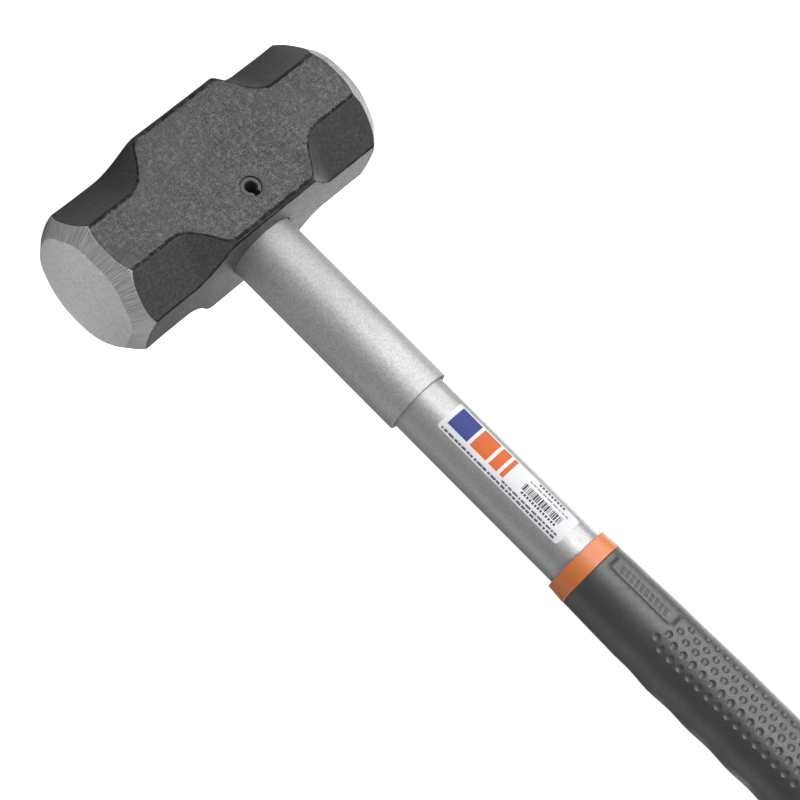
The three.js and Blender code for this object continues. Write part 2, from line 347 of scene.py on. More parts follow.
# ------------------------------------------------------------------ slotted spring pin with chamfered ends
def build_pin():
    ro, ri, slot, half = 5.2, 3.05, 3.4, 35.1
    # the wall's section, walked outside one way and inside the other
    def section(ro_, ri_):
        pts = []
        g = math.asin(slot / 2 / ro_)
        gi = math.asin(slot / 2 / ri_)
        n = 60
        for i in range(n + 1):
            a = math.pi / 2 + g + (2 * math.pi - 2 * g) * i / n
            pts.append((ro_ * math.cos(a), ro_ * math.sin(a)))
        for i in range(n, -1, -1):
            a = math.pi / 2 + gi + (2 * math.pi - 2 * gi) * i / n
            pts.append((ri_ * math.cos(a), ri_ * math.sin(a)))
        return pts
    stations = [(-half, 5.0, 3.4), (-half + 0.12, 5.1, 3.3), (-half + 1.3, ro - 0.02, ri), (-half + 1.7, ro, ri), (0, ro, ri),
                (half - 1.7, ro, ri), (half - 1.3, ro - 0.02, ri), (half - 0.12, 5.1, 3.3), (half, 5.0, 3.4)]
    verts, faces = [], []
    n = None
    for y, a, b in stations:
        s = section(a, b)
        n = len(s)
        verts += [(px, y, PIN_Z + pz) for px, pz in s]
    for r in range(len(stations) - 1):
        for i in range(n):
            j = (i + 1) % n
            faces.append((r * n + i, r * n + j, (r + 1) * n + j, (r + 1) * n + i))
    h = n // 2
    for base in (0, (len(stations) - 1) * n):
        for i in range(h - 1):
            faces.append((base + i, base + i + 1, base + n - 2 - i, base + n - 1 - i))
    return make_object("spring_pin", verts, faces, True, 30)


pin = build_pin()

# ------------------------------------------------------------------ plugs and grip core
eye_plug = lathe("eye_plug_moulding",
                 [(0, 1.35), (5.2, 1.35), (5.6, 1.15), (6.1, 0.95), (6.6, 1.15), (7.0, 1.35), (12.6, 1.35), (13.0, 1.2), (13.5, 0.85), (16.9, 0.8)]
                 + arc(17.1, 1.5, 0.7, -90, 0, 6)
                 + [(17.8, 3.0), (13.3, 3.0), (13.3, 16.2), (12.9, 17.0), (11.5, 17.0), (11.3, 16.6), (11.3, 5.2), (0, 5.2)], 144, 35)
core = lathe("grip_core_liner",
             [(15.6, COLLAR_Z0 + 0.35), (15.85, COLLAR_Z0)] + [(17.45, COLLAR_Z0)] + arc(17.4, COLLAR_Z0 + 0.5, 0.5, -80, 0, 6)
             + [(18.25, COLLAR_Z0 + 5.0), (18.68, COLLAR_Z1 - 0.25), (18.5, COLLAR_Z1), (17.1, COLLAR_Z1), (17.1, TUBE_END), (15.6, TUBE_END)], 192, 35)
butt = lathe("butt_plug_moulding",
             [(0, 670.0), (11.2, 670.0), (13.0, 671.8), (13.3, 672.5), (13.3, 690.3), (16.8, 690.3), (16.8, 697.2)]
             + arc(15.6, 697.5, 1.2, 10, 85, 6)
             + [(12.2, 699.0), (11.6, 698.6), (11.1, 698.0), (10.5, 698.0), (10.0, 698.5), (9.4, 699.0), (0, 699.3)], 144, 35)

# ------------------------------------------------------------------ grip cover
GRIP_MINUS_X = [(293.3, 18.5), (307, 19.0), (337, 20.0), (382, 21.0), (422, 21.3), (502, 21.3), (582, 20.6), (652, 20.6), (688, FLARE_R)]
GRIP_PLUS_X = [(293.3, 18.5), (322, 18.9), (350, 19.4), (382, 18.9), (422, 18.9), (502, 19.2), (582, 19.6), (652, 20.2), (688, FLARE_R)]
GRIP_Y = [(293.3, 18.6), (322, 19.2), (362, 19.7), (422, 19.9), (582, 19.9), (652, 20.2), (688, FLARE_R)]
WAVE_PITCH, WAVE_DEPTH = 26.0, 0.35


def table_at(table, z):
    z = np.asarray(z, float)
    out = np.full_like(z, table[0][1])
    for (z0, a), (z1, b) in zip(table[:-1], table[1:]):
        t = smoothstep((z - z0) / (z1 - z0))
        out = np.where(z > z0, a + (b - a) * t, out)
    return out


def grip_r(theta, z):
    """theta 0 faces -Y, positive towards +X; radians and mm"""
    s = np.sin(theta)
    ry = table_at(GRIP_Y, z)
    rx = np.where(s > 0, table_at(GRIP_PLUS_X, z), table_at(GRIP_MINUS_X, z))
    fade = np.clip((z - 320) / 12, 0, 1) * np.clip((652 - z) / 20, 0, 1)
    rx = rx + np.where(s > 0, WAVE_DEPTH * fade * np.cos(2 * np.pi * (z - 350) / WAVE_PITCH), 0)
    return ry + (rx - ry) * s * s


DIMPLE_R, DIMPLE_DEPTH, PITCH = 1.95, 0.70, 6.12
Z_FIELD_END = 650.0


def dimple_list():
    out = []
    for side in (0.0, 180.0):
        for c, ang in enumerate((32.0, 16.2, 0.8, -14.0, -31.5)):
            first = 341.0 + 3.06 * c
            z = first
            while z < Z_FIELD_END:
                out.append((ang + side, z))
                z += PITCH
        for ang, z in ((23.7, 335.7), (8.8, 338.8), (-6.3, 341.6), (-21.8, 344.8)):
            out.append((ang + side, z))
    res = []
    for a, z in out:
        a = (a + 180) % 360 - 180
        res.append((a, z))
    return np.array(res)


DIMPLES = dimple_list()
R_NOM = 19.8

# rounded frame of the panel below the collar, and short raised ribs inside it
P_T0, P_T1, P_Z0, P_Z1, P_R = -27.5, -1.2, 297.1, 337.0, 2.2


def panel_path(offset=0.0, step=0.55):
    """closed path in (mm of arc, z), offset outwards"""
    s = math.radians(1) * R_NOM
    x0, x1, z0, z1 = P_T0 * s - offset, P_T1 * s + offset, P_Z0 - offset, P_Z1 + offset
    r = P_R + offset
    pts = []
    corners = [(x1 - r, z0 + r, -90), (x1 - r, z1 - r, 0), (x0 + r, z1 - r, 90), (x0 + r, z0 + r, 180)]
    for i, (cx, cz, a0) in enumerate(corners):
        m = max(4, int(r * math.pi / 2 / step))
        arcp = [(cx + r * math.cos(math.radians(a0 + 90 * j / m)), cz + r * math.sin(math.radians(a0 + 90 * j / m))) for j in range(m + 1)]
        nx, nz, na = corners[(i + 1) % 4]
        nxt = (nx + r * math.cos(math.radians(na)), nz + r * math.sin(math.radians(na)))
        last = arcp[-1]
        d = math.dist(last, nxt)
        k = max(1, int(d / step))
        pts += arcp + [(last[0] + (nxt[0] - last[0]) * j / k, last[1] + (nxt[1] - last[1]) * j / k) for j in range(1, k)]
    return pts


def panel_sd(u, z):
    """signed distance, in mm, to the panel's rounded frame line"""
    s = math.radians(1) * R_NOM
    cx, cz = (P_T0 + P_T1) / 2 * s, (P_Z0 + P_Z1) / 2
    hx, hz = (P_T1 - P_T0) / 2 * s, (P_Z1 - P_Z0) / 2
    qx, qz = np.abs(u - cx) - hx + P_R, np.abs(z - cz) - hz + P_R
    return np.hypot(np.maximum(qx, 0), np.maximum(qz, 0)) + np.minimum(np.maximum(qx, qz), 0) - P_R


RIBS = [((P_T0 + P_T1) / 2 * math.radians(1) * R_NOM + 0.6, 303.4 + i * 3.0) for i in range(10)]   # centre u, z


def rib_h(u, z):
    h = np.zeros_like(u)
    for cu, cz in RIBS:
        du, dz = u - cu, z - cz
        t = np.clip(dz * 0.25 + du * 0.97, -1.9, 1.9)          # slanted short bars
        px, pz = du - t * 0.97, dz - t * 0.25
        d = np.hypot(px, pz)
        h = np.maximum(h, 0.19 * smoothstep((0.62 - d) / 0.35))
    return h


def relief(theta_deg, z):
    """height in mm added to the grip's outline at (degrees, mm)"""
    out = np.zeros_like(z)
    u = np.radians(theta_deg) * R_NOM
    for i0 in range(0, len(z), 4000):
        sl = slice(i0, i0 + 4000)
        du = (theta_deg[sl, None] - DIMPLES[None, :, 0] + 180) % 360 - 180
        du = np.radians(du) * R_NOM
        dz = z[sl, None] - DIMPLES[None, :, 1]
        d = np.sqrt(np.min(du * du + dz * dz, axis=1))
        bowl = -DIMPLE_DEPTH * np.clip(1 - (d / DIMPLE_R) ** 2, 0, 1) ** 0.8
        lip = 0.07 * np.exp(-((d - DIMPLE_R - 0.15) / 0.28) ** 2)
        out[sl] = bowl + lip
    sd = panel_sd(u, z)
    near = (z < 347) & (np.abs(theta_deg + 15) < 40)
    line = 0.30 * np.exp(-(sd / 0.30) ** 4)
    sunk = -0.16 * smoothstep(-sd / 0.5)
    out += np.where(near, line + sunk + np.where(sd < -0.6, rib_h(u, z), 0), 0)
    seam = np.minimum(np.abs(theta_deg - 90), np.abs(theta_deg + 90)) * math.radians(1) * R_NOM
    out += 0.10 * np.exp(-(seam / 0.22) ** 2) * np.clip((686 - z) / 10, 0, 1)
    return out


def build_cover():
    z0, z1 = COVER_Z0 + 0.5, 688.0
    n_edge = 120
    edge_t = -180 + 360 * np.arange(n_edge + 1) / n_edge
    s = math.radians(1) * R_NOM
    pts = []
    def add(u, z):
        pts.append((u, z))
    W = 180 * s
    edge_z = np.linspace(z0, z1, 200)
    for t in edge_t:
        add(t * s, z0)
        add(t * s, z1)
    for z in edge_z[1:-1]:
        add(-W, z)
        add(W, z)
    fixed = len(pts)
    rings = [(0.0, 1), (0.7, 7), (1.3, 12), (1.72, 18), (1.95, 20), (2.25, 20)]
    for a, z in DIMPLES:
        for r, k in rings:
            for i in range(k):
                t = 2 * math.pi * (i + 0.5 * (k % 2)) / k
                add(a * s + r * math.cos(t), z + r * math.sin(t))
    for off in (-0.5, -0.26, 0.0, 0.26, 0.5):
        pts += panel_path(off)
    for cu, cz in RIBS:
        for off in (0.0, 0.24, 0.45, 0.68):
            k = 1 if off == 0 else 14
            if off == 0:
                for t in np.linspace(-1.9, 1.9, 8):
                    add(cu + t * 0.97, cz + t * 0.25)
            else:
                for t in np.linspace(-1.9, 1.9, 8):
                    for sg in (-1, 1):
                        add(cu + t * 0.97 - sg * off * 0.25, cz + t * 0.25 + sg * off * 0.97)
                for a in (-60, -20, 20, 60):
                    for sg in (-1, 1):
                        ang = math.radians(a) + math.atan2(0.25, 0.97) + (0 if sg > 0 else math.pi)
                        add(cu + sg * 1.9 * 0.97 + off * math.cos(ang), cz + sg * 1.9 * 0.25 + off * math.sin(ang))
    for sd in (-90.0, 90.0):
        for off in (-0.45, -0.22, 0.0, 0.22, 0.45):
            for z in np.arange(z0 + 1.5, z1 - 0.8, 2.0):
                add(sd * s + off, z)
    special = np.array(pts[fixed:])
    # background points on a loose triangle grid, clear of the special ones
    back = []
    row = 0
    z = z0 + 1.6
    while z < z1 - 1.0:
        step = 2.5
        off = 0.5 * step * (row % 2)
        u = -W + step * 0.5 + off
        while u < W - step * 0.4:
            back.append((u, z))
            u += step
        z += step * 0.87
        row += 1
    back = np.array(back)
    # keep distance to special points: hash grid
    cell = 1.0
    occ = {}
    for p in special:
        occ.setdefault((int(math.floor(p[0] / cell)), int(math.floor(p[1] / cell))), []).append(p)
    keep = []
    for p in back:
        ci, cj = int(math.floor(p[0] / cell)), int(math.floor(p[1] / cell))
        ok = True
        for i in (-1, 0, 1):
            for j in (-1, 0, 1):
                for o in occ.get((ci + i, cj + j), ()):
                    if (o[0] - p[0]) ** 2 + (o[1] - p[1]) ** 2 < 0.72:
                        ok = False
                        break
                if not ok:
                    break
            if not ok:
                break
        if ok:
            keep.append(tuple(p))
    pts += keep
    arr = np.array(pts)
    inside = (arr[:, 0] >= -W - 1e-6) & (arr[:, 0] <= W + 1e-6)
    # dimples of the back field straddle the seam: wrap what falls outside
    arr[:, 0] = np.where(arr[:, 0] > W + 1e-6, arr[:, 0] - 2 * W, arr[:, 0])
    arr[:, 0] = np.where(arr[:, 0] < -W - 1e-6, arr[:, 0] + 2 * W, arr[:, 0])
    # nothing closer than 0.12 mm to the seam except the seam's own points
    close = np.abs(np.abs(arr[:, 0]) - W) < 0.25
    close[:fixed] = False
    arr = arr[~close]
    res = delaunay_2d_cdt([Vector(p) for p in arr.tolist()], [], [], 0, 1e-6)
    v2 = np.array([tuple(v) for v in res[0]])
    tri = res[2]
    th = v2[:, 0] / s
    zz = v2[:, 1]
    r = grip_r(np.radians(th), zz) + relief(th, zz)
    tr = np.radians(th)
    verts = np.stack([r * np.sin(tr), -r * np.cos(tr), zz], 1).tolist()
    faces = [tuple(f) for f in tri]
    # rounded start, flared end and the bore, as rings that share the outline's edge points
    ring_t = np.radians(edge_t[:-1])

    def ring(z, rad):
        base = len(verts)
        rad = np.broadcast_to(rad, ring_t.shape)
        for t, q in zip(ring_t, rad):
            verts.append((q * math.sin(t), -q * math.cos(t), z))
        return base

    def join(a, b):
        for i in range(n_edge):
            j = (i + 1) % n_edge
            faces.append((a + i, a + j, b + j, b + i))

    start_r = grip_r(ring_t, np.full(n_edge, z0)) + relief(edge_t[:-1].astype(float), np.full(n_edge, z0))
    bases = [ring(z0, start_r), ring(z0 - 0.2, start_r - 0.04), ring(z0 - 0.4, start_r - 0.2), ring(z0 - 0.5, start_r - 0.5), ring(z0 - 0.5, COVER_BORE)]
    end_r = grip_r(ring_t, np.full(n_edge, z1)) + relief(edge_t[:-1].astype(float), np.full(n_edge, z1))
    ends = [ring(z1, end_r)]
    for a in (10, 20, 30, 42, 54, 66, 78, 90):
        t = math.radians(a)
        ends.append(ring(z1 + 12 * math.sin(t), FLARE_R - 4.2 * (1 - math.cos(t))))
    ends += [ring(TOTAL, 18.1), ring(TOTAL - 0.3, 17.5), ring(TOTAL - 0.9, COVER_BORE)]
    for a, b in zip(bases[:-1], bases[1:]):
        join(b, a)
    for a, b in zip(ends[:-1], ends[1:]):
        join(a, b)
    join(ends[-1], bases[-1])
    me = bpy.data.meshes.new("grip_cover_rubber")
    v = np.asarray(verts) * MM
    me.from_pydata(v.tolist(), [], faces)
    ob = bpy.data.objects.new("grip_cover_rubber", me)
    bpy.context.scene.collection.objects.link(ob)
    bm = bmesh.new()
    bm.from_mesh(me)
    bmesh.ops.remove_doubles(bm, verts=bm.verts, dist=2e-6)
    bmesh.ops.recalc_face_normals(bm, faces=bm.faces)
    if bm.calc_volume(signed=True) < 0:
        bmesh.ops.reverse_faces(bm, faces=bm.faces)
    open_edges = sum(1 for e in bm.edges if len(e.link_faces) != 2)
    bm.to_mesh(me)
    bm.free()
    me.shade_smooth()
    me.set_sharp_from_angle(angle=math.radians(55))
    print("grip cover faces", len(me.polygons), "open edges", open_edges)
    return ob


cover = build_cover()


# ------------------------------------------------------------------ label, one film with its print as faces of other materials
L_Z0, L_Z1, L_HALF, L_RAD = 194.0, 273.0, 33.3, 1.6
L_R0, L_R1 = 15.56, 15.74


def build_label():
    s = math.radians(1) * L_R1
    rects = []      # (theta0, theta1, z0, z1, material)
    # colour fields across the film's head end
    rects.append((-29.5, 17.0, 196.7, 209.5, 1))
    rects.append((-29.5, 17.0, 211.3, 221.9, 2))
    rects.append((-29.5, 17.0, 223.7, 229.1, 2))
    rects.append((-29.5, 17.0, 230.9, 233.3, 2))
    # fine print: rows of dashes of uneven length
    rng = np.random.RandomState(7)
    for th, za, zb, hgt in ((28.2, 196.0, 270.5, 1.15), (21.6, 234.0, 270.3, 1.0), (-16.5, 243.5, 268.1, 0.8)):
        z = za
        while z < zb:
            ln = float(rng.uniform(0.9, 3.4))
            rects.append((th - hgt / s / 2, th + hgt / s / 2, z, min(z + ln, zb), 3))
            z += ln + float(rng.uniform(0.35, 0.9))
    for z in np.arange(247.5, 264.5, 1.9):
        rects.append((-30.4, -24.6, float(z), float(z) + 1.25, 4))
    # plain bars of uneven width
    z = 242.7
    while z < 266.5:
        w = float(rng.choice([0.33, 0.33, 0.66, 0.99]))
        rects.append((-8.2, 7.0 if not (254.3 < z < 255.1) else 9.5, z, z + w, 4))
        z += w + float(rng.choice([0.33, 0.33, 0.66]))
    for z in np.arange(244.0, 265.5, 1.75):
        rects.append((9.0, 13.6, float(z), float(z) + 1.1, 4))
    tl = sorted(set([-L_HALF, L_HALF] + [r[0] for r in rects] + [r[1] for r in rects] + list(np.linspace(-L_HALF, L_HALF, 25))))
    zl = sorted(set([L_Z0, L_Z1] + [r[2] for r in rects] + [r[3] for r in rects]
                    + [L_Z0 + L_RAD * (1 - math.cos(math.radians(a))) for a in (15, 30, 45, 60, 75, 90)]
                    + [L_Z1 - L_RAD * (1 - math.cos(math.radians(a))) for a in (15, 30, 45, 60, 75, 90)] + list(np.arange(L_Z0, L_Z1, 4.0))))
    tl = [t for i, t in enumerate(tl) if i == 0 or t - tl[i - 1] > 1e-4]
    zl = [z for i, z in enumerate(zl) if i == 0 or z - zl[i - 1] > 1e-4]

    def limit(z):
        d = min(z - L_Z0, L_Z1 - z)
        if d >= L_RAD:
            return L_HALF
        c = L_RAD - d
        return L_HALF - (L_RAD - math.sqrt(max(0, L_RAD ** 2 - c ** 2))) / s

    nt, nz = len(tl), len(zl)
    verts, faces, mats = [], [], []
    for r in (L_R1, L_R0):
        for z in zl:
            m = limit(z)
            for t in tl:
                a = math.radians(max(-m, min(m, t)))
                verts.append((r * math.sin(a), -r * math.cos(a), z))
    off = nt * nz

    def mat_at(t, z):
        for r in reversed(rects):
            if r[0] < t < r[1] and r[2] < z < r[3]:
                return r[4]
        return 0

    for j in range(nz - 1):
        for i in range(nt - 1):
            a = j * nt + i
            faces.append((a, a + 1, a + nt + 1, a + nt))
            mats.append(mat_at((tl[i] + tl[i + 1]) / 2, (zl[j] + zl[j + 1]) / 2))
            b = off + a
            faces.append((b, b + nt, b + nt + 1, b + 1))
            mats.append(0)
    for j in range(nz - 1):
        for i in (0, nt - 1):
            a = j * nt + i
            q = (a, a + nt, off + a + nt, off + a)
            faces.append(q if i == 0 else q[::-1])
            mats.append(0)
    for i in range(nt - 1):
        for j in (0, nz - 1):
            a = j * nt + i
            q = (a, off + a, off + a + 1, a + 1)
            faces.append(q if j == 0 else q[::-1])
            mats.append(0)
    me = bpy.data.meshes.new("label_film")
    me.from_pydata((np.asarray(verts) * MM).tolist(), [], faces)
    me.polygons.foreach_set("material_index", np.array(mats, np.int32))
    bm = bmesh.new()
    bm.from_mesh(me)
    bmesh.ops.remove_doubles(bm, verts=bm.verts, dist=1e-6)
    bmesh.ops.dissolve_degenerate(bm, edges=bm.edges, dist=1e-6)
    bmesh.ops.recalc_face_normals(bm, faces=bm.faces)
    if bm.calc_volume(signed=True) < 0:
        bmesh.ops.reverse_faces(bm, faces=bm.faces)
    bm.to_mesh(me)
    bm.free()
    me.shade_smooth()
    me.set_sharp_from_angle(angle=math.radians(40))
    ob = bpy.data.objects.new("label_film", me)
    bpy.context.scene.collection.objects.link(ob)
    return ob


label = build_label()


# ------------------------------------------------------------------ materials
class Tree:
    def __init__(self, name):
        self.mat = bpy.data.materials.new(name)
        self.mat.use_nodes = True
        self.nt = self.mat.node_tree
        self.nt.nodes.clear()
        self.out = self.nt.nodes.new("ShaderNodeOutputMaterial")
        self.bsdf = self.nt.nodes.new("ShaderNodeBsdfPrincipled")
        self.nt.links.new(self.bsdf.outputs[0], self.out.inputs[0])
        self.obj = self.nt.nodes.new("ShaderNodeTexCoord").outputs["Object"]

    def link(self, a, b):
        self.nt.links.new(a, b)

    def value(self, socket, v):
        if hasattr(v, "is_linked") or isinstance(v, bpy.types.NodeSocket):
            self.link(v, socket)
        else:
            socket.default_value = v

    def math(self, op, a, b=0.0, c=0.0, clamp=False):
        n = self.nt.nodes.new("ShaderNodeMath")
        n.operation = op
        n.use_clamp = clamp
        for s, v in zip(n.inputs, (a, b, c)):
            self.value(s, v)
        return n.outputs[0]

    def vmath(self, op, a, b=(0, 0, 0)):
        n = self.nt.nodes.new("ShaderNodeVectorMath")
        n.operation = op
        self.value(n.inputs[0], a)
        self.value(n.inputs[1], b)
        return n.outputs["Value"] if op in ("LENGTH", "DOT_PRODUCT", "DISTANCE") else n.outputs[0]

    def mapping(self, vec, scale=(1, 1, 1), rot=(0, 0, 0), loc=(0, 0, 0)):
        n = self.nt.nodes.new("ShaderNodeMapping")
        self.value(n.inputs["Vector"], vec)
        n.inputs["Scale"].default_value = scale
        n.inputs["Rotation"].default_value = rot
        n.inputs["Location"].default_value = loc
        return n.outputs[0]

    def noise(self, vec, scale, detail=3.0, rough=0.5, distort=0.0, dim="3D"):
        n = self.nt.nodes.new("ShaderNodeTexNoise")
        n.noise_dimensions = dim
        self.value(n.inputs["Vector"], vec)
        n.inputs["Scale"].default_value = scale
        n.inputs["Detail"].default_value = detail
        n.inputs["Roughness"].default_value = rough
        n.inputs["Distortion"].default_value = distort
        return n.outputs[0]

    def voronoi(self, vec, scale, feature="F1", rand=1.0):
        n = self.nt.nodes.new("ShaderNodeTexVoronoi")
        n.feature = feature
        self.value(n.inputs["Vector"], vec)
        n.inputs["Scale"].default_value = scale
        n.inputs["Randomness"].default_value = rand
        return n.outputs[0]

    def ramp(self, fac, stops, interp="LINEAR"):
        n = self.nt.nodes.new("ShaderNodeValToRGB")
        n.color_ramp.interpolation = interp
        e = n.color_ramp.elements
        while len(e) > 1:
            e.remove(e[-1])
        e[0].position, e[0].color = stops[0][0], self.rgba(stops[0][1])
        for p, c in stops[1:]:
            x = e.new(p)
            x.color = self.rgba(c)
        self.value(n.inputs[0], fac)
        return n.outputs[0]

    @staticmethod
    def rgba(c):
        if isinstance(c, (int, float)):
            return (c, c, c, 1)
        return (*c, 1) if len(c) == 3 else c

    def mix(self, fac, a, b, blend="MIX"):
        n = self.nt.nodes.new("ShaderNodeMix")
        n.data_type = "RGBA"
        n.blend_type = blend
        self.value(n.inputs[0], fac)
        for s, v in ((n.inputs[6], a), (n.inputs[7], b)):
            if isinstance(v, (int, float, tuple, list)):
                s.default_value = self.rgba(v)
            else:
                self.link(v, s)
        return n.outputs[2]

    def mixf(self, fac, a, b):
        n = self.nt.nodes.new("ShaderNodeMix")
        n.data_type = "FLOAT"
        self.value(n.inputs[0], fac)
        self.value(n.inputs[2], a)
        self.value(n.inputs[3], b)
        return n.outputs[0]

    def attr(self, name):
        n = self.nt.nodes.new("ShaderNodeAttribute")
        n.attribute_type = "GEOMETRY"
        n.attribute_name = name
        return n.outputs["Fac"]

    def mapr(self, v, a, b, c=0.0, d=1.0, smooth=False):
        n = self.nt.nodes.new("ShaderNodeMapRange")
        n.interpolation_type = "SMOOTHSTEP" if smooth else "LINEAR"
        self.value(n.inputs["Value"], v)
        n.inputs["From Min"].default_value = a
        n.inputs["From Max"].default_value = b
        n.inputs["To Min"].default_value = c
        n.inputs["To Max"].default_value = d
        return n.outputs[0]

    def bump(self, height, dist, strength=1.0, normal=None):
        n = self.nt.nodes.new("ShaderNodeBump")
        n.inputs["Strength"].default_value = strength
        n.inputs["Distance"].default_value = dist
        self.value(n.inputs["Height"], height)
        if normal is not None:
            self.link(normal, n.inputs["Normal"])
        return n.outputs[0]

    def sep(self, vec):
        n = self.nt.nodes.new("ShaderNodeSeparateXYZ")
        self.value(n.inputs[0], vec)
        return n.outputs

    def comb(self, x, y, z):
        n = self.nt.nodes.new("ShaderNodeCombineXYZ")
        for s, v in zip(n.inputs, (x, y, z)):
            self.value(s, v)
        return n.outputs[0]

    def set(self, name, v):
        self.value(self.bsdf.inputs[name], v)


def head_material():
    t = Tree("forged_head")
    p = t.obj
    ox, bv, fc, bo = t.attr("oxide"), t.attr("bevel"), t.attr("face"), t.attr("bore")
    # masks, broken up a little so that no boundary is ruler-straight
    edge_n = t.noise(p, 900, 3, 0.6)
    wavy = t.noise(p, 260, 3, 0.6)
    ox_n = t.math("ADD", ox, t.math("ADD", t.math("MULTIPLY", t.math("SUBTRACT", edge_n, 0.5), 1.0), t.math("MULTIPLY", t.math("SUBTRACT", wavy, 0.5), 1.3)))
    ox_m = t.mapr(ox_n, -0.10, 0.16, smooth=True)
    fc_m = t.mapr(fc, -0.2, 0.6, smooth=True)
    bv_n = t.math("ADD", bv, t.math("MULTIPLY", t.math("SUBTRACT", edge_n, 0.5), 0.5))
    bv_m = t.math("MAXIMUM", t.mapr(bv_n, -0.75, -0.40, smooth=True), fc_m)
    # scale and grain of the forged flats
    grain = t.noise(p, 1900, 3, 0.65)
    grain2 = t.noise(p, 480, 3, 0.6)
    mott = t.noise(p, 55, 3, 0.5)
    big = t.noise(p, 17, 2, 0.5)
    pits = t.voronoi(p, 620)
    lines_x = t.noise(t.mapping(p, scale=(90, 1900, 1900)), 1.0, 2, 0.6)
    lines_z = t.noise(t.mapping(p, scale=(1900, 90, 90)), 1.0, 2, 0.6)
    lines = t.math("ADD", t.math("MULTIPLY", lines_x, 0.5), t.math("MULTIPLY", lines_z, 0.5))
    g = t.math("ADD", t.math("MULTIPLY", grain, 0.66), t.math("ADD", t.math("MULTIPLY", grain2, 0.08), t.math("MULTIPLY", lines, 0.26)))
    col_flat = t.ramp(g, [(0.37, (0.006, 0.006, 0.007)), (0.46, (0.026, 0.026, 0.027)), (0.54, (0.064, 0.064, 0.065)), (0.64, (0.170, 0.170, 0.169))])
    col_flat = t.mix(t.mapr(mott, 0.35, 0.65, 0.0, 0.35), col_flat, (0.028, 0.028, 0.029))
    col_flat = t.mix(t.mapr(big, 0.35, 0.7, 0.0, 0.25), col_flat, (0.08, 0.08, 0.08))
    smooth_n = t.noise(p, 700, 4, 0.65)
    col_ox = t.ramp(smooth_n, [(0.36, (0.014, 0.014, 0.015)), (0.50, (0.024, 0.024, 0.025)), (0.66, (0.044, 0.044, 0.044))])
    # grinding marks: across the bevel, and along one direction on the face
    xyz = t.sep(p)
    cen = t.comb(0.0, xyz[1], t.math("SUBTRACT", xyz[2], A * MM))
    dirn = t.vmath("NORMALIZE", cen)
    marks_b = t.noise(t.vmath("ADD", t.vmath("MULTIPLY", dirn, (95, 95, 95)), t.vmath("MULTIPLY", p, (90, 90, 90))), 1.0, 5, 0.7)
    marks_f = t.noise(t.mapping(p, scale=(200, 2800, 800), rot=(math.radians(20), 0, 0)), 1.0, 4, 0.65)
    marks_g = t.noise(t.mapping(p, scale=(200, 900, 420), rot=(math.radians(20), 0, 0)), 1.0, 2, 0.5)
    col_b = t.ramp(marks_b, [(0.36, (0.17, 0.17, 0.172)), (0.5, (0.31, 0.31, 0.314)), (0.64, (0.46, 0.46, 0.46))])
    col_f = t.ramp(t.math("ADD", t.math("MULTIPLY", marks_f, 0.7), t.math("MULTIPLY", marks_g, 0.3)),
                   [(0.38, (0.38, 0.38, 0.383)), (0.5, (0.50, 0.50, 0.504)), (0.62, (0.64, 0.64, 0.642))])
    body = t.mix(ox_m, col_flat, col_ox)
    # a broken dark line of painted shade in the step between the flats and the scooped facets, and beside it a thin
    # painted highlight on the flats
    ox_s = t.math("ADD", ox, t.math("ADD", t.math("MULTIPLY", t.math("SUBTRACT", edge_n, 0.5), 0.8), t.math("MULTIPLY", t.math("SUBTRACT", wavy, 0.5), 0.6)))
    seam = t.math("SUBTRACT", 1.0, t.mapr(t.math("ABSOLUTE", t.math("ADD", ox_s, 0.14)), 0.40, 0.72, smooth=True))
    seam = t.math("MULTIPLY", seam, t.mapr(wavy, 0.36, 0.52, 0.6, 1.0))
    # painted highlight: a thin lighter band on the flats, about a millimetre from the scooped facets
    painted_rim_highlight = t.math("SUBTRACT", 1.0, t.mapr(t.math("ABSOLUTE", t.math("ADD", ox_n, 0.78)), 0.08, 0.26, smooth=True))
    body = t.mix(t.math("MULTIPLY", painted_rim_highlight, t.mapr(grain2, 0.45, 0.6, 0.0, 0.45)), body, (0.14, 0.14, 0.139))
    # painted shade: the seam band along the flats' corner is mixed towards near black
    body = t.mix(t.math("MULTIPLY", seam, 0.85), body, (0.006, 0.006, 0.006))
    bare = t.mix(fc_m, col_b, col_f)
    col = t.mix(bv_m, body, bare)
    # a dark line where the coating meets the ground bevel
    rim = t.math("MULTIPLY", t.mapr(bv_n, -1.9, -1.1, smooth=True), t.math("SUBTRACT", 1.0, bv_m))
    col = t.mix(t.math("MULTIPLY", rim, 0.75), col, (0.02, 0.02, 0.021))
    col = t.mix(bo, col, (0.03, 0.03, 0.031))
    t.set("Base Color", col)
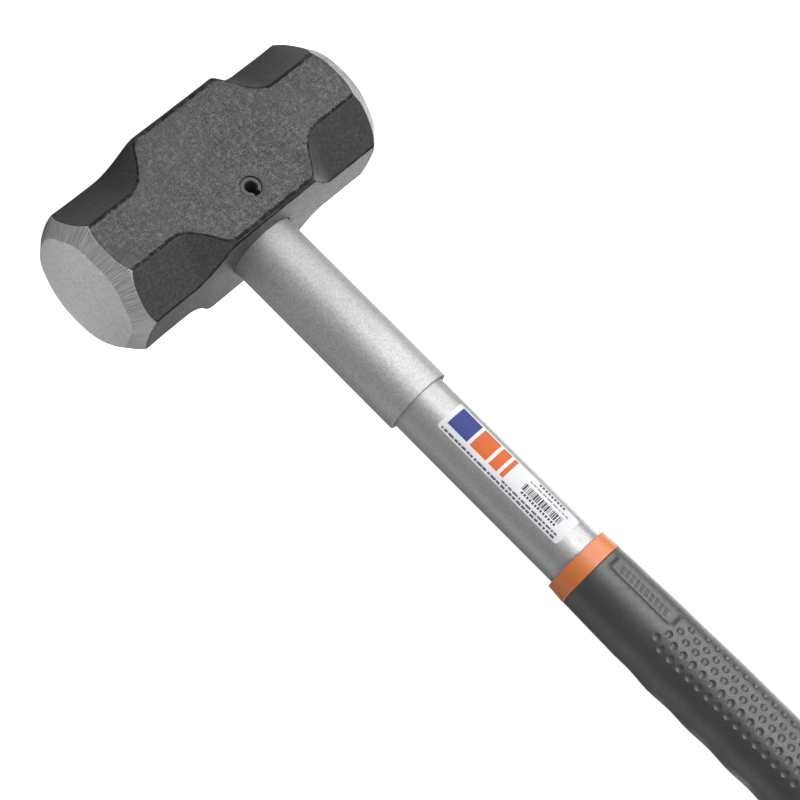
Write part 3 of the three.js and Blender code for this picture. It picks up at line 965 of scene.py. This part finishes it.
    # the painted-shade line is also made less metallic and less specular, so that it stays dark
    clear = t.math("SUBTRACT", 1.0, t.math("MULTIPLY", t.math("MULTIPLY", seam, t.math("SUBTRACT", 1.0, bv_m)), 0.9))
    t.set("Metallic", t.math("MULTIPLY", clear, t.mixf(bv_m, t.mixf(ox_m, 0.55, 0.25), 0.95)))
    t.set("Specular IOR Level", t.math("MULTIPLY", clear, 0.5))
    r_flat = t.mapr(g, 0.3, 0.7, 0.60, 0.44)
    t.set("Roughness", t.mixf(bv_m, t.mixf(ox_m, r_flat, t.mapr(smooth_n, 0.3, 0.7, 0.40, 0.52)), t.mixf(fc_m, 0.34, 0.38)))
    h_flat = t.math("ADD", t.math("MULTIPLY", grain, 0.7), t.math("ADD", t.math("ADD", t.math("MULTIPLY", grain2, 0.35), t.math("MULTIPLY", lines, 0.5)), t.math("MULTIPLY", t.mapr(pits, 0.0, 0.35), 0.25)))
    h_ox = t.math("ADD", t.math("MULTIPLY", smooth_n, 0.6), t.math("ADD", t.math("MULTIPLY", mott, 0.5), t.math("MULTIPLY", wavy, 0.6)))
    h_bare = t.math("MULTIPLY", t.mixf(fc_m, t.math("MULTIPLY", marks_b, 0.9), t.math("MULTIPLY", marks_f, 0.5)), 1.0)
    h = t.mixf(bv_m, t.math("SUBTRACT", t.mixf(ox_m, h_flat, h_ox), t.math("MULTIPLY", seam, 0.6)), h_bare)
    t.set("Normal", t.bump(h, 0.00042, 0.9))
    return t.mat


def silver_material(name, base, grain_scale, bump_d, rough):
    t = Tree(name)
    p = t.obj
    g1 = t.noise(p, grain_scale, 4, 0.7)
    g2 = t.noise(p, grain_scale * 0.33, 2, 0.5)
    fl = t.voronoi(p, grain_scale * 1.7)
    m = t.noise(p, 38, 3, 0.5)
    v = t.math("ADD", t.math("MULTIPLY", g1, 0.85), t.math("MULTIPLY", g2, 0.15))
    lo, hi = tuple(c * 0.72 for c in base), tuple(min(1, c * 1.22) for c in base)
    col = t.ramp(v, [(0.32, lo), (0.52, base), (0.72, hi)])
    col = t.mix(t.mapr(m, 0.35, 0.7, 0.0, 0.06), col, tuple(c * 0.85 for c in base))
    t.set("Base Color", col)
    t.set("Metallic", 0.72)
    t.set("Roughness", t.mapr(v, 0.3, 0.7, rough + 0.07, rough - 0.05))
    h = t.math("ADD", t.math("MULTIPLY", g1, 0.8), t.math("ADD", t.math("MULTIPLY", g2, 0.35), t.math("MULTIPLY", fl, 0.15)))
    t.set("Normal", t.bump(h, bump_d, 0.8))
    return t.mat


def plastic_material(name, c0, c1, rough, speck=900, bump_d=0.00005, metallic=0.0, spec=0.5):
    t = Tree(name)
    p = t.obj
    n = t.noise(p, speck, 3, 0.6)
    m = t.noise(p, 30, 2, 0.5)
    col = t.mix(t.mapr(m, 0.3, 0.7), c0, c1)
    t.set("Base Color", t.mix(t.mapr(n, 0.35, 0.7, 0.0, 0.12), col, tuple(c * 0.6 for c in c0)))
    t.set("Metallic", metallic)
    t.bsdf.inputs["Specular IOR Level"].default_value = spec
    t.set("Roughness", t.mapr(n, 0.3, 0.7, rough - 0.04, rough + 0.06))
    t.set("Normal", t.bump(n, bump_d, 0.6))
    return t.mat


def rubber_material():
    t = Tree("grip_rubber")
    p = t.obj
    n = t.noise(p, 1500, 3, 0.6)
    c = t.noise(p, 420, 3, 0.55)
    m = t.noise(p, 26, 3, 0.55)
    col = t.ramp(m, [(0.3, (0.016, 0.016, 0.017)), (0.55, (0.019, 0.019, 0.020)), (0.8, (0.025, 0.025, 0.026))])
    col = t.mix(t.mapr(n, 0.4, 0.75, 0.0, 0.35), col, (0.036, 0.036, 0.037))
    t.set("Base Color", col)
    t.set("Roughness", t.mapr(c, 0.3, 0.7, 0.38, 0.48))
    t.bsdf.inputs["Specular IOR Level"].default_value = 0.62
    t.set("Normal", t.bump(t.math("ADD", t.math("MULTIPLY", n, 0.5), c), 0.00007, 0.7))
    return t.mat


def pin_material():
    t = Tree("spring_steel_black")
    p = t.obj
    n = t.noise(p, 900, 4, 0.6)
    r = t.vmath("LENGTH", t.vmath("SUBTRACT", p, (0, 0, 0)))
    y = t.math("ABSOLUTE", t.sep(p)[1])
    # painted highlight: the last 1.3 mm at each end of the pin is lightened in streaks
    painted_end_highlight = t.mapr(y, 0.0338, 0.0350, smooth=True)
    col = t.ramp(n, [(0.3, (0.03, 0.03, 0.031)), (0.7, (0.085, 0.083, 0.08))])
    col = t.mix(t.math("MULTIPLY", painted_end_highlight, t.mapr(n, 0.3, 0.62, 0.2, 0.8)), col, (0.075, 0.075, 0.074))
    t.set("Base Color", col)
    t.set("Metallic", 0.5)
    t.set("Roughness", t.mapr(n, 0.3, 0.7, 0.5, 0.65))
    t.set("Normal", t.bump(n, 0.00006, 0.7))
    return t.mat


def print_material(name, c, rough=0.56):
    t = Tree(name)
    p = t.obj
    n = t.noise(p, 1400, 2, 0.5)
    m = t.noise(p, 60, 2, 0.5)
    c2 = tuple(min(1, v * 0.90 + 0.004) for v in c)
    t.set("Base Color", t.mix(t.mapr(m, 0.3, 0.7), c, c2))
    t.set("Roughness", t.mapr(n, 0.3, 0.7, rough - 0.05, rough + 0.06))
    t.bsdf.inputs["Specular IOR Level"].default_value = 0.3
    t.set("Normal", t.bump(n, 0.00001, 0.4))
    return t.mat


def give(ob, *mats):
    for m in mats:
        ob.data.materials.append(m)


give(head, head_material())
give(sleeve, silver_material("sleeve_silver", (0.300, 0.301, 0.302), 900, 0.00016, 0.50))
give(tube, silver_material("tube_silver", (0.292, 0.293, 0.294), 1500, 0.00007, 0.42))
give(pin, pin_material())
give(eye_plug, plastic_material("plug_black", (0.022, 0.022, 0.023), (0.032, 0.032, 0.034), 0.55))
orange = plastic_material("collar_orange", (0.42, 0.100, 0.008), (0.37, 0.088, 0.007), 0.42, speck=700, spec=0.8)
give(core, orange)
give(butt, orange)
give(cover, rubber_material())
give(label,
     print_material("label_white", (0.47, 0.475, 0.485)),
     print_material("label_blue", (0.010, 0.024, 0.140)),
     print_material("label_orange", (0.40, 0.072, 0.005)),
     print_material("label_grey_print", (0.070, 0.065, 0.085)),
     print_material("label_black_print", (0.02, 0.02, 0.022)))

# ------------------------------------------------------------------ what rides on what
for ob, node, slot in ((head, "head", "forged_steel"), (sleeve, "guard_sleeve", "silver_coated_sleeve"), (tube, "handle_tube", "silver_coated_steel"),
                       (pin, "retaining_pin", "spring_steel"), (eye_plug, "eye_plug", "black_plastic"), (core, "grip_core", "orange_plastic"),
                       (butt, "butt_plug", "orange_plastic"), (cover, "grip_cover", "dark_rubber"), (label, "label", "label_film")):
    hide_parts(node)
    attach(ob, "root")

# ------------------------------------------------------------------ floor
floor_me = bpy.data.meshes.new("floor")
R = 60.0
floor_me.from_pydata([(R * math.cos(i / 48 * 2 * math.pi), R * math.sin(i / 48 * 2 * math.pi), 0) for i in range(48)], [], [list(range(48))])
floor = bpy.data.objects.new("floor", floor_me)
bpy.context.scene.collection.objects.link(floor)
ft = Tree("floor_white")
fn = ft.noise(ft.obj, 3.0, 3, 0.5)
ft.set("Base Color", ft.mix(ft.mapr(fn, 0.3, 0.7), (0.80, 0.80, 0.80), (0.82, 0.82, 0.82)))
ft.set("Roughness", 0.7)
lp = ft.nt.nodes.new("ShaderNodeLightPath")
em = ft.nt.nodes.new("ShaderNodeEmission")
em.inputs[0].default_value = (1, 1, 1, 1)
ft.link(ft.math("MULTIPLY", lp.outputs["Is Camera Ray"], 0.86), em.inputs[1])
ms = ft.nt.nodes.new("ShaderNodeAddShader")
ft.link(ft.bsdf.outputs[0], ms.inputs[0])
ft.link(em.outputs[0], ms.inputs[1])
ft.link(ms.outputs[0], ft.out.inputs[0])
give(floor, ft.mat)

# ------------------------------------------------------------------ light
world = bpy.data.worlds.new("studio")
bpy.context.scene.world = world
world.use_nodes = True
wn = world.node_tree
wn.nodes.clear()
wo = wn.nodes.new("ShaderNodeOutputWorld")
wb = wn.nodes.new("ShaderNodeBackground")
wl = wn.nodes.new("ShaderNodeLightPath")
wm = wn.nodes.new("ShaderNodeMix")
wm.data_type = "RGBA"
wm.inputs[6].default_value = (0.17, 0.17, 0.172, 1)
wm.inputs[7].default_value = (1.0, 1.0, 1.0, 1)
wn.links.new(wl.outputs["Is Camera Ray"], wm.inputs[0])
wn.links.new(wm.outputs[2], wb.inputs[0])
wn.links.new(wb.outputs[0], wo.inputs[0])


def softbox(name, az, el, dist, size, power, target=(0, 0, 0.18), color=(1, 1, 1), size_y=None):
    """az, el as seen from the object: 0 is the front cheek's side, 90 is +X"""
    a, e = math.radians(az), math.radians(el)
    d = Vector((math.sin(a) * math.cos(e), -math.cos(a) * math.cos(e), math.sin(e)))
    lt = bpy.data.lights.new(name, "AREA")
    lt.shape = "RECTANGLE"
    lt.size = size
    lt.size_y = size_y or size
    lt.energy = power
    lt.color = color
    ob = bpy.data.objects.new(name, lt)
    bpy.context.scene.collection.objects.link(ob)
    ob.location = Vector(target) + d * dist
    ob.rotation_euler = d.to_track_quat("Z", "Y").to_euler()
    ob.visible_camera = False
    return ob


for i, (az, el, w) in enumerate(((-12, 6, 0.88), (10, 30, 0.55), (-60, 6, 0.62), (-40, 6, 0.34), (-45, 60, 0.18), (175, 30, 0.24),
                                 (92, 45, 0.24), (0, 60, 0.08), (-122, 12, 0.30), (110, 6, 0.08), (125, 16, 0.10))):
    softbox("panel_%02d" % i, az, el, 1.6, 0.9, 20 * w, target=(0, 0, 0.16))

softbox("back_right", -153, 9, 0.30, 0.16, 0.26, target=(-0.048, -0.008, 0.0716))

# ------------------------------------------------------------------ camera, at the view that the hammer is seen from
cam_data = bpy.data.cameras.new("camera")
cam = bpy.data.objects.new("camera", cam_data)
bpy.context.scene.collection.objects.link(cam)
cam_data.sensor_width = 36.0
cam_data.sensor_fit = "HORIZONTAL"
cam_data.lens = 36.0 * 2715.73 / 800.0
right = Vector((-0.671605, -0.239187, 0.701239))
up = Vector((-0.590553, -0.398744, -0.701605))
back = Vector((0.447430, -0.885321, 0.126546))
cam.matrix_world = Matrix(((right.x, up.x, back.x, 0.58187), (right.y, up.y, back.y, -1.13923), (right.z, up.z, back.z, 0.33451), (0, 0, 0, 1)))
cam_data.clip_start = 0.05
cam_data.clip_end = 300
bpy.context.scene.camera = cam
bpy.context.scene.view_settings.view_transform = "Standard"
bpy.context.scene.view_settings.look = "None"
